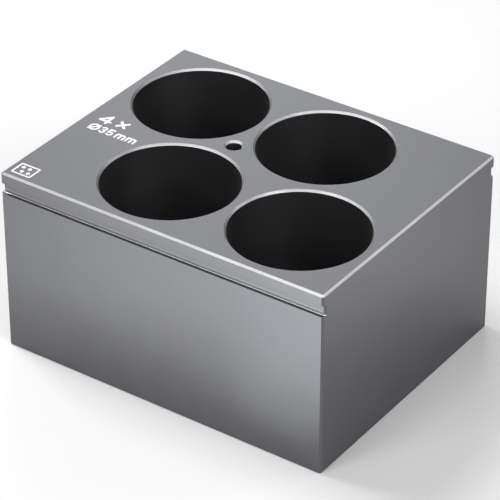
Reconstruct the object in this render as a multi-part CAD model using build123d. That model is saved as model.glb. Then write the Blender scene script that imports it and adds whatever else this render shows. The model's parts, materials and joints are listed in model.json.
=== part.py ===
from build123d import *
import math
import os

# A heating block for a dry block heater: one milled piece of metal with four wells for round
# vessels, a hole for a temperature sensor and a lifting groove along each long side, with
# printed marks on its top face.
# Millimetres, +Z up. The origin is the centre of the underside, and X runs along the block.

# Block
LENGTH = 95.0
WIDTH = 76.2
HEIGHT = 51.0
EDGE_CHAMFER = 0.5  # top edges, upright edges, and the mouths of the wells and sensor hole
BASE_CHAMFER = 0.25  # edges of the underside

# Lifting grooves, along both long sides and open at both ends
LIP_HEIGHT = 3.0  # metal left between the top face and the groove
GROOVE_HEIGHT = 3.0
GROOVE_DEPTH = 1.0
GROOVE_CORNER_RADIUS = 0.25

# Wells: two rows of two, the back row moved towards -X and the front row towards +X
WELL_RADIUS = 17.5
WELL_DEPTH = 45.0
WELL_CORNER_RADIUS = 1.0  # between a well's wall and its floor
WELL_PITCH = 38.0  # centre to centre along a row
ROW_OFFSET = 17.5  # from the middle of the block to each row
ROW_SHIFT = 8.0

# Sensor hole, drilled
SENSOR_RADIUS = 2.0
SENSOR_DEPTH = 40.0  # to the start of the drill point
DRILL_POINT_ANGLE = 118.0

# Printed marks, a thin coat of ink on the top face
INK_THICKNESS = 0.04
MARK_LEFT = -LENGTH / 2 + 4.1  # left side of both lines
COUNT_BASELINE = -5.0
COUNT_HEIGHT = 4.1
COUNT_STROKE = 0.75
COUNT_GAP = 1.5
SIZE_BASELINE = -9.1
SIZE_HEIGHT = 3.0
SIZE_STROKE = 0.55
SIZE_GAP = 0.4
LAYOUT_SCALE = 1 / 16  # the small plan of the block, against the block itself
LAYOUT_INSET = 1.8  # from the block's sides to the small plan
LAYOUT_STROKE = 0.45

SIDES = (1, -1)


def well_centres():
    """Centres of the wells, back row first."""
    return [
        (end * WELL_PITCH / 2 - side * ROW_SHIFT, side * ROW_OFFSET)
        for side in SIDES
        for end in (-1, 1)
    ]


def sensor_centre():
    """The point as far from both back wells as from the left front well."""
    front_left_x = ROW_SHIFT - WELL_PITCH / 2
    x = -ROW_SHIFT
    y = ((WELL_PITCH / 2) ** 2 - (front_left_x - x) ** 2) / (4 * ROW_OFFSET)
    return (x, y)


def groove_cutter(direction, distance):
    """A long cutter with rounded inner corners. Its floor faces DIRECTION, in degrees from +X,
    and lies DISTANCE from the block's upright centre line."""
    reach = 4 * GROOVE_DEPTH
    cutter = Box(reach, 2 * LENGTH, GROOVE_HEIGHT, align=(Align.MIN, Align.CENTER, Align.MAX))
    inner_edges = cutter.edges().filter_by(Axis.Y).sort_by(Axis.X)[:2]
    cutter = fillet(inner_edges, GROOVE_CORNER_RADIUS)
    return Rot(0, 0, direction) * Pos(distance, 0, HEIGHT - LIP_HEIGHT) * cutter


def blank():
    """The block with its chamfers and grooves, before any hole is cut."""
    body = Box(LENGTH, WIDTH, HEIGHT, align=(Align.CENTER, Align.CENTER, Align.MIN))
    body = chamfer(body.edges().filter_by(Axis.Z), EDGE_CHAMFER)
    body = chamfer(body.faces().sort_by(Axis.Z)[-1].edges(), EDGE_CHAMFER)
    body = chamfer(body.faces().sort_by(Axis.Z)[0].edges(), BASE_CHAMFER)

    neck_side = WIDTH / 2 - GROOVE_DEPTH
    neck_corner = (LENGTH / 2 + neck_side - EDGE_CHAMFER) / math.sqrt(2)
    for direction in (90, -90):
        body -= groove_cutter(direction, neck_side)
        for turn in (-45, 45):
            body -= groove_cutter(direction + turn, neck_corner)
    return body


def mouth_cutter(radius):
    """Cuts the chamfer round a hole's mouth in the top face."""
    cone = Cone(
        radius,
        radius + 2 * EDGE_CHAMFER,
        2 * EDGE_CHAMFER,
        align=(Align.CENTER, Align.CENTER, Align.MIN),
    )
    return Pos(0, 0, HEIGHT - EDGE_CHAMFER) * cone


def well_cutter():
    """A flat-bottomed well with a rounded corner round its floor."""
    bore = Cylinder(WELL_RADIUS, WELL_DEPTH, align=(Align.CENTER, Align.CENTER, Align.MAX))
    bore = fillet(bore.edges().sort_by(Axis.Z)[0], WELL_CORNER_RADIUS)
    return Pos(0, 0, HEIGHT) * bore + mouth_cutter(WELL_RADIUS)


def sensor_cutter():
    """A drilled hole with the cone that the drill leaves at its end."""
    point_height = SENSOR_RADIUS / math.tan(math.radians(DRILL_POINT_ANGLE / 2))
    bore = Cylinder(SENSOR_RADIUS, SENSOR_DEPTH, align=(Align.CENTER, Align.CENTER, Align.MAX))
    point = Cone(0, SENSOR_RADIUS, point_height, align=(Align.CENTER, Align.CENTER, Align.MAX))
    hole = bore + Pos(0, 0, -SENSOR_DEPTH) * point
    return Pos(0, 0, HEIGHT) * hole + mouth_cutter(SENSOR_RADIUS)


def heating_block():
    body = blank()
    for x, y in well_centres():
        body -= Pos(x, y, 0) * well_cutter()
    x, y = sensor_centre()
    return body - Pos(x, y, 0) * sensor_cutter()


def pen(path, stroke):
    """A line drawn with a round pen, as a flat shape."""
    return SlotArc(path, stroke)


# Each character below is drawn with the centre line of the pen: left side at X = 0, baseline at
# Y = 0, height as given. It comes with the width that its centre line takes up.


def four(height, stroke):
    width = 0.95 * height
    stem = 0.72 * width
    bar = 0.26 * height
    shape = pen(Polyline((stem, height), (0, bar), (width, bar)), stroke)
    return shape + pen(Line((stem, height), (stem, 0)), stroke), width


def times(height, stroke):
    width = 0.68 * height
    low = 0.5 * (height - width)
    shape = pen(Line((0, low), (width, low + width)), stroke)
    return shape + pen(Line((0, low + width), (width, low)), stroke), width


def diameter_sign(height, stroke):
    radius = height / 2
    ring = Circle(radius + stroke / 2) - Circle(radius - stroke / 2)
    slash = pen(Line((-0.9 * radius, -radius), (0.9 * radius, radius)), stroke)
    return Pos(radius, radius) * (ring + slash), height


def three(height, stroke):
    radius = height / 4
    shape = pen(CenterArc((radius, 3 * radius), radius, 160, -250), stroke)
    return shape + pen(CenterArc((radius, radius), radius, 90, -250), stroke), 2 * radius


def five(height, stroke):
    radius = 0.29 * height
    start = 145
    left = radius - radius * abs(math.cos(math.radians(start)))
    shoulder = radius + radius * math.sin(math.radians(start))
    shape = pen(Polyline((1.8 * radius, height), (left, height), (left, shoulder)), stroke)
    return shape + pen(CenterArc((radius, radius), radius, start, -290), stroke), 2 * radius


def small_m(height, stroke):
    arch = 0.24 * height
    top = 0.72 * height - arch
    shape = pen(Line((0, 0), (0, top + arch)), stroke)
    for left in (0, 2 * arch):
        shape += pen(CenterArc((left + arch, top), arch, 0, 180), stroke)
        shape += pen(Line((left + 2 * arch, top), (left + 2 * arch, 0)), stroke)
    return shape, 4 * arch


def printed_line(characters, height, stroke, gap, baseline):
    """Characters side by side, as thin solids of ink. None stands for a space."""
    centre_height = height - stroke
    shapes = []
    x = MARK_LEFT + stroke / 2
    for character in characters:
        if character is None:
            x += gap
            continue
        shape, width = character(centre_height, stroke)
        shapes.append(Pos(x, baseline + stroke / 2) * shape)
        x += width + stroke + gap
    return ink(Sketch() + shapes)


def ink(shape):
    return Pos(0, 0, HEIGHT) * extrude(shape, INK_THICKNESS)


def layout_mark():
    """A small plan of the block: its outline and a dot for each well."""
    length = LENGTH * LAYOUT_SCALE
    width = WIDTH * LAYOUT_SCALE
    corner = LAYOUT_STROKE
    outline = RectangleRounded(length, width, corner)
    outline -= RectangleRounded(
        length - 2 * LAYOUT_STROKE, width - 2 * LAYOUT_STROKE, corner / 2
    )
    dot_scale = LAYOUT_SCALE * (1 - 2 * LAYOUT_STROKE / width)
    dots = [
        Pos(x * dot_scale, y * dot_scale) * Circle(0.6 * WELL_RADIUS * dot_scale)
        for x, y in well_centres()
    ]
    x = LAYOUT_INSET + length / 2 - LENGTH / 2
    y = LAYOUT_INSET + width / 2 - WIDTH / 2
    return ink(Pos(x, y) * (outline + dots))


os.makedirs("parts", exist_ok=True)
PIECES = {
    "heating_block": heating_block(),
    "well_count_mark": printed_line(
        [four, times], COUNT_HEIGHT, COUNT_STROKE, COUNT_GAP, COUNT_BASELINE
    ),
    "well_size_mark": printed_line(
        [diameter_sign, three, five, None, small_m, small_m],
        SIZE_HEIGHT, SIZE_STROKE, SIZE_GAP, SIZE_BASELINE,
    ),
    "layout_mark": layout_mark(),
}
for name, shape in PIECES.items():
    export_step(shape, f"parts/{name}.step")
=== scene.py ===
"""The look of the heating block: its materials, the camera, the floor and the studio light."""

import json
import math

import bpy
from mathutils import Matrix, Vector


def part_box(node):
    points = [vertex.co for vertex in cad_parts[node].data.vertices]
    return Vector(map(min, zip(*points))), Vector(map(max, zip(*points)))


# Metres, +Z up, and the block's front towards -Y. An azimuth is in degrees from the front
# towards +X, and an elevation is in degrees above the floor.
MM = 0.001

CAMERA_AZIMUTH = 35
CAMERA_ELEVATION = 33
CAMERA_DISTANCE = 0.7013
CAMERA_TARGET = MM * Vector((0.07, 0.45, 25.5))
CAMERA_LENS = 201.6  # in millimetres, as the sensor is
CAMERA_SENSOR = 36
CAMERA_CLIP = 10 * MM

# Lamps, pointed at the middle of the block: azimuth, elevation, distance, diameter, watts
LIGHT_TARGET = MM * Vector((0, 0, 25))
LIGHTS = {
    "front_left_low": (348.7, -0.2, 0.306, 0.045, 0.06),
    "front": (345, 32, 0.9, 0.42, 2.27),
    "right": (75, 32, 0.9, 0.42, 3.72),
    "right_back_near": (128, 29, 0.35, 0.16, 0.065),
    "back_right": (142, 29, 0.9, 0.42, 0.22),
    "back_left": (215, 33, 0.9, 0.42, 1.59),
    "left_high": (270, 55, 0.9, 0.42, 5.08),
    "overhead": (15, 78, 0.9, 0.5, 1.69),
}
# Lamps lying on the floor and shining up, as a bright floor would: azimuth, distance, diameter,
# watts. Each lies a little higher than the last, because lamps in one plane hide each other.
FLOOR_LIGHTS = {
    "floor_front": (0, 0.148, 0.18, 0.07),
    "floor_front_left": (338, 0.148, 0.16, 0.047),
    "floor_front_right": (14, 0.124, 0.1, 0.036),
    "floor_front_close": (22.6, 0.074, 0.044, 0.003),
    "floor_right": (106, 0.146, 0.12, 0.028),
}
FLOOR_LIGHT_STEP = 0.5 * MM
WORLD_BRIGHTNESS = 0.12

# Anodised metal, which differs a little in shade and gloss from patch to patch
METAL_COLOUR = (0.134, 0.136, 0.145, 1)
METAL_ROUGHNESS = 0.42
SHADE_CHANGE = 0.04  # each way, as ROUGHNESS_CHANGE is
ROUGHNESS_CHANGE = 0.02
PATCH_SIZE = 9 * MM
GRAIN_SIZE = 0.12 * MM
METAL_RELIEF = 0.002 * MM  # of the grain and of the tool marks

# Metal bared in the bores, with the rings of the boring tool
BORED_COLOUR = (0.2, 0.2025, 0.208, 1)
BORE_MARGIN = 0.1 * MM  # past a bore's wall, so that the wall counts as inside
TOOL_MARK_PITCH = 0.2 * MM

# Metal made lighter: partly wear on the cut edges, partly a painted highlight on the chamfers
# and the groove corners, and painted light on the groove walls. Depths are below the block's top
# face. A slope is the upward part of a surface's normal, which is 1 where the surface is level and
# 0 where it is upright.
# lighter colour: wear and a painted highlight on the edges, painted light on the groove walls
WEAR_AND_PAINTED_LIGHT_COLOUR = (0.9, 0.905, 0.92, 1)
LIGHTENED_DEPTH = 6.02 * MM  # just past the bottom of the lifting grooves; nothing lower is worn or painted lighter
LEAST_WEAR_AND_LIGHT = 0.85  # in the patches with the least wear and painted highlight, against 1 in the most
EDGE_SLOPE = math.sqrt(0.5)  # of an edge at 45 degrees
FULL_WEAR_AND_HIGHLIGHT_RANGE = 0.2  # a slope as near as this to an edge's is fully worn and highlighted
NO_WEAR_AND_HIGHLIGHT_RANGE = 0.28  # and one as far off as this isn't worn or highlighted
CHAMFER_WEAR_AND_HIGHLIGHT = 0.74  # on the chamfers at the top, partly wear and partly a painted highlight, against 1 below the lip's middle, where the inner corners of the grooves get a painted highlight
CHAMFER_DEPTH = 0.6 * MM
LIP_MIDDLE_DEPTH = 1.5 * MM
GROOVE_PAINTED_LIGHT = 0.28  # painted light at the bottom of a groove's back wall, against the shade there
GROOVE_LIGHT_TOP_DEPTH = 4.6 * MM
GROOVE_LIGHT_BOTTOM_DEPTH = 5.7 * MM
GROOVE_LIGHT_REACH = 1.2 * MM  # in from the block's side, just past the groove's wall
GROOVE_LIGHT_SLOPE = 0.9  # a steeper slope than this is part of the wall

# Ink, laid a little unevenly
INK_COLOUR = (0.9, 0.9, 0.9, 1)
INK_ROUGHNESS = 0.55
THIN_INK_SHADE = 0.9  # against 1 where the ink is thick
INK_PATCH_SIZE = 0.4 * MM
INK_GRAIN_SIZE = 0.08 * MM
INK_RELIEF = 0.003 * MM

FLOOR_COLOUR = (0.8, 0.8, 0.8, 1)
FLOOR_ROUGHNESS = 0.6
FLOOR_SIZE = 20


class Nodes:
    """A material's shader nodes, added one at a time."""

    def __init__(self, name):
        self.material = bpy.data.materials.new(name)
        self.material.use_nodes = True
        self.tree = self.material.node_tree
        self.shader = self.tree.nodes["Principled BSDF"]

    def fill(self, socket, value):
        """Joins VALUE to the socket if it is another node's output, and sets it if not."""
        if isinstance(value, bpy.types.NodeSocket):
            self.tree.links.new(value, socket)
        else:
            socket.default_value = value

    def surface(self, **values):
        for name, value in values.items():
            self.fill(self.shader.inputs[name.replace("_", " ")], value)

    def add(self, kind, *values, **settings):
        """A new node with VALUES in its first input sockets. Gives its first output."""
        node = self.tree.nodes.new(kind)
        for name, setting in settings.items():
            setattr(node, name, setting)
        for socket, value in zip(node.inputs, values):
            self.fill(socket, value)
        return node.outputs[0]

    def math(self, operation, *values):
        return self.add("ShaderNodeMath", *values, operation=operation)

    def coordinates(self, kind):
        return self.tree.nodes.new("ShaderNodeTexCoord").outputs[kind]

    def along(self, axis, vector):
        """The vector's X, Y or Z."""
        node = self.tree.nodes.new("ShaderNodeSeparateXYZ")
        self.fill(node.inputs[0], vector)
        return node.outputs[axis]

    def noise(self, position, size, detail=2.0):
        """Noise from 0 to 1, mostly near 0.5, whose blotches are about SIZE across."""
        node = self.tree.nodes.new("ShaderNodeTexNoise")
        self.fill(node.inputs["Vector"], position)
        self.fill(node.inputs["Scale"], 1 / size)
        self.fill(node.inputs["Detail"], detail)
        return node.outputs["Fac"]

    def rings(self, axis, position, pitch):
        """Waves from 0 to 1 that follow one another along the axis, PITCH apart."""
        node = self.tree.nodes.new("ShaderNodeTexWave")
        node.bands_direction = axis
        self.fill(node.inputs["Vector"], position)
        self.fill(node.inputs["Scale"], math.pi / (10 * pitch))  # a wave is pi / (10 * scale) long
        return node.outputs["Fac"]

    def ramp(self, value, start, end, low=0.0, high=1.0):
        """Takes VALUE from the range START to END to the range LOW to HIGH, and stops there."""
        return self.add("ShaderNodeMapRange", value, start, end, low, high)

    def mix(self, amount, first, second):
        """A colour between FIRST and SECOND."""
        node = self.tree.nodes.new("ShaderNodeMix")
        node.data_type = "RGBA"
        self.fill(node.inputs["Factor"], amount)
        self.fill(node.inputs["A"], first)
        self.fill(node.inputs["B"], second)
        return node.outputs["Result"]

    def bump(self, height, depth, under=None):
        """Relief DEPTH metres deep, on top of the relief UNDER."""
        node = self.tree.nodes.new("ShaderNodeBump")
        self.fill(node.inputs["Height"], height)
        self.fill(node.inputs["Distance"], depth)
        if under is not None:
            self.fill(node.inputs["Normal"], under)
        return node.outputs["Normal"]


def inside_a_bore(nodes, position, bores):
    """1 inside the holes and on their walls, and 0 elsewhere."""
    flat = nodes.add("ShaderNodeVectorMath", position, (1, 1, 0), operation="MULTIPLY")
    inside = 0.0
    for bore in bores:
        x, y, _ = bore["pos_m"]
        reach = bore["dims"]["r_mm"] * MM + BORE_MARGIN
        distance = nodes.tree.nodes.new("ShaderNodeVectorMath")
        distance.operation = "DISTANCE"
        nodes.fill(distance.inputs[0], flat)
        nodes.fill(distance.inputs[1], (x, y, 0))
        here = nodes.math("LESS_THAN", distance.outputs["Value"], reach)
        inside = nodes.math("MAXIMUM", inside, here)
    return inside


def wear_and_painted_light_places(nodes, position, patches):
    """How much lighter the metal is made, partly by wear and partly as painted light: most in the
    corners of the lifting grooves, a painted highlight; a little less on the chamfers at the top,
    bared metal and a painted highlight; and least on the back walls of the grooves, more towards
    their bottom, painted light against the shade there."""
    _, side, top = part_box("heating_block")[1]
    depth = nodes.math("SUBTRACT", top, nodes.along("Z", position))
    slope = nodes.along("Z", nodes.coordinates("Normal"))
    near_top = nodes.math("LESS_THAN", depth, LIGHTENED_DEPTH)

    # painted highlight, partly bared metal: near the top, slopes near 45 degrees (the chamfers and
    # the groove corners) are made lighter
    slope_error = nodes.math("ABSOLUTE", nodes.math("SUBTRACT", slope, EDGE_SLOPE))
    edge = nodes.ramp(slope_error, NO_WEAR_AND_HIGHLIGHT_RANGE, FULL_WEAR_AND_HIGHLIGHT_RANGE)
    edge_lightening = nodes.ramp(depth, LIP_MIDDLE_DEPTH, CHAMFER_DEPTH, 1.0, CHAMFER_WEAR_AND_HIGHLIGHT)
    edge = nodes.math("MULTIPLY", edge, edge_lightening)

    # painted light: the bottom of each groove's back wall is made lighter, more towards the
    # bottom, against the shade there
    off_centre = nodes.math("ABSOLUTE", nodes.along("Y", position))
    outer = nodes.math("GREATER_THAN", off_centre, side - GROOVE_LIGHT_REACH)
    upright = nodes.math("LESS_THAN", slope, GROOVE_LIGHT_SLOPE)
    groove_painted_light = nodes.ramp(depth, GROOVE_LIGHT_TOP_DEPTH, GROOVE_LIGHT_BOTTOM_DEPTH, 0.0, GROOVE_PAINTED_LIGHT)
    groove_painted_light = nodes.math("MULTIPLY", groove_painted_light, nodes.math("MULTIPLY", outer, upright))

    wear_and_painted_light = nodes.math("MULTIPLY", near_top, nodes.math("MAXIMUM", edge, groove_painted_light))
    return nodes.math("MULTIPLY", wear_and_painted_light, nodes.ramp(patches, 0.3, 0.7, LEAST_WEAR_AND_LIGHT, 1.0))


def shaded(colour, amount):
    """The colour made darker, or lighter where AMOUNT is over 1."""
    return [amount * value for value in colour[:3]] + [1]


def anodised_metal(bores):
    """Satin grey anodised aluminium, lighter on its edges with wear and a painted highlight and on
    the groove walls with painted light, with the fine rings of the boring tool in the holes."""
    nodes = Nodes("anodised_metal")
    position = nodes.coordinates("Object")
    patches = nodes.noise(position, PATCH_SIZE, detail=3.0)
    grain = nodes.noise(position, GRAIN_SIZE)
    wear_and_painted_light = wear_and_painted_light_places(nodes, position, patches)

    shade = nodes.ramp(patches, 0.25, 0.75)
    darker = shaded(METAL_COLOUR, 1 - SHADE_CHANGE)
    lighter = shaded(METAL_COLOUR, 1 + SHADE_CHANGE)
    colour = nodes.mix(shade, darker, lighter)
    bored = inside_a_bore(nodes, position, bores)
    colour = nodes.mix(bored, colour, BORED_COLOUR)
    # lighter edges and groove walls: partly wear, partly painted highlight and painted light
    colour = nodes.mix(wear_and_painted_light, colour, WEAR_AND_PAINTED_LIGHT_COLOUR)

    smoothest = METAL_ROUGHNESS - ROUGHNESS_CHANGE
    roughest = METAL_ROUGHNESS + ROUGHNESS_CHANGE
    roughness = nodes.ramp(patches, 0.2, 0.8, smoothest, roughest)

    rings = nodes.rings("Z", position, TOOL_MARK_PITCH)
    marks = nodes.math("MULTIPLY", rings, bored)
    relief = nodes.bump(marks, METAL_RELIEF, nodes.bump(grain, METAL_RELIEF))

    nodes.surface(Base_Color=colour, Metallic=1.0, Roughness=roughness, Normal=relief)
    return nodes.material


def white_ink():
    """Matte white printing ink, laid a little unevenly."""
    nodes = Nodes("white_ink")
    position = nodes.coordinates("Object")
    cover = nodes.noise(position, INK_PATCH_SIZE, detail=3.0)
    thickness = nodes.ramp(cover, 0.35, 0.6)
    nodes.surface(
        Base_Color=nodes.mix(thickness, shaded(INK_COLOUR, THIN_INK_SHADE), INK_COLOUR),
        Roughness=INK_ROUGHNESS,
        Normal=nodes.bump(nodes.noise(position, INK_GRAIN_SIZE), INK_RELIEF),
    )
    return nodes.material


def paint_nodes(frame):
    bores = [mount for mount in frame["record"]["mounts"] if mount["kind"] == "bore"]
    metal = anodised_metal(bores)
    ink = white_ink()
    for name, piece in frame["nodes"].items():
        piece.data.materials.clear()
        piece.data.materials.append(metal if name == "heating_block" else ink)


def from_angles(azimuth, elevation):
    """The direction of a place seen from the middle of the block."""
    turn = math.radians(azimuth)
    rise = math.radians(elevation)
    level = math.cos(rise)
    return Vector((math.sin(turn) * level, -math.cos(turn) * level, math.sin(rise)))


def add_object(name, data):
    thing = bpy.data.objects.new(name, data)
    bpy.context.scene.collection.objects.link(thing)
    return thing


def place(thing, target, azimuth, elevation, distance):
    """Puts a camera or a lamp round TARGET, and points it there."""
    outwards = from_angles(azimuth, elevation)
    thing.location = target + distance * outwards
    thing.rotation_mode = "QUATERNION"
    thing.rotation_quaternion = outwards.to_track_quat("Z", "Y")


def add_camera():
    camera = add_object("camera", bpy.data.cameras.new("camera"))
    camera.data.sensor_width = CAMERA_SENSOR
    camera.data.lens = CAMERA_LENS
    camera.data.clip_start = CAMERA_CLIP
    place(camera, CAMERA_TARGET, CAMERA_AZIMUTH, CAMERA_ELEVATION, CAMERA_DISTANCE)
    bpy.context.scene.camera = camera


def add_floor():
    bpy.ops.mesh.primitive_plane_add(size=FLOOR_SIZE)
    floor = bpy.context.object
    floor.name = "floor"
    nodes = Nodes("floor")
    nodes.surface(Base_Color=FLOOR_COLOUR, Roughness=FLOOR_ROUGHNESS)
    floor.data.materials.append(nodes.material)


def add_lamp(name, diameter, power):
    """A round lamp that the camera doesn't see. It shines along its -Z."""
    light = bpy.data.lights.new(name, "AREA")
    light.shape = "DISK"
    light.size = diameter
    light.energy = power
    lamp = add_object(name, light)
    lamp.visible_camera = False
    return lamp


def add_lamps():
    for name, (azimuth, elevation, distance, diameter, power) in LIGHTS.items():
        lamp = add_lamp(name, diameter, power)
        place(lamp, LIGHT_TARGET, azimuth, elevation, distance)

    height = 0
    for name, (azimuth, distance, diameter, power) in FLOOR_LIGHTS.items():
        height += FLOOR_LIGHT_STEP
        lamp = add_lamp(name, diameter, power)
        lamp.location = distance * from_angles(azimuth, 0) + Vector((0, 0, height))
        lamp.rotation_euler.x = math.pi


def add_world():
    world = bpy.data.worlds.new("studio")
    world.use_nodes = True
    background = world.node_tree.nodes["Background"]
    background.inputs["Color"].default_value = (1, 1, 1, 1)
    background.inputs["Strength"].default_value = WORLD_BRIGHTNESS
    bpy.context.scene.world = world


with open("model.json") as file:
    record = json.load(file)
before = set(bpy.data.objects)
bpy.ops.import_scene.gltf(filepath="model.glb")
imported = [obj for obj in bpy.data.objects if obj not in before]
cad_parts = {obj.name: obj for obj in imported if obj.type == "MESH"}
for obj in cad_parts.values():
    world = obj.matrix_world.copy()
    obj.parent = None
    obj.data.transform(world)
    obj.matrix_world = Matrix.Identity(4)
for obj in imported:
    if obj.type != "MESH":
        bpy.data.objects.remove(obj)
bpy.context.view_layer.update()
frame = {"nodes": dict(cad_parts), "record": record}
bpy.context.scene.view_settings.view_transform = "Standard"
paint_nodes(frame)
add_camera()
add_floor()
add_lamps()
add_world()
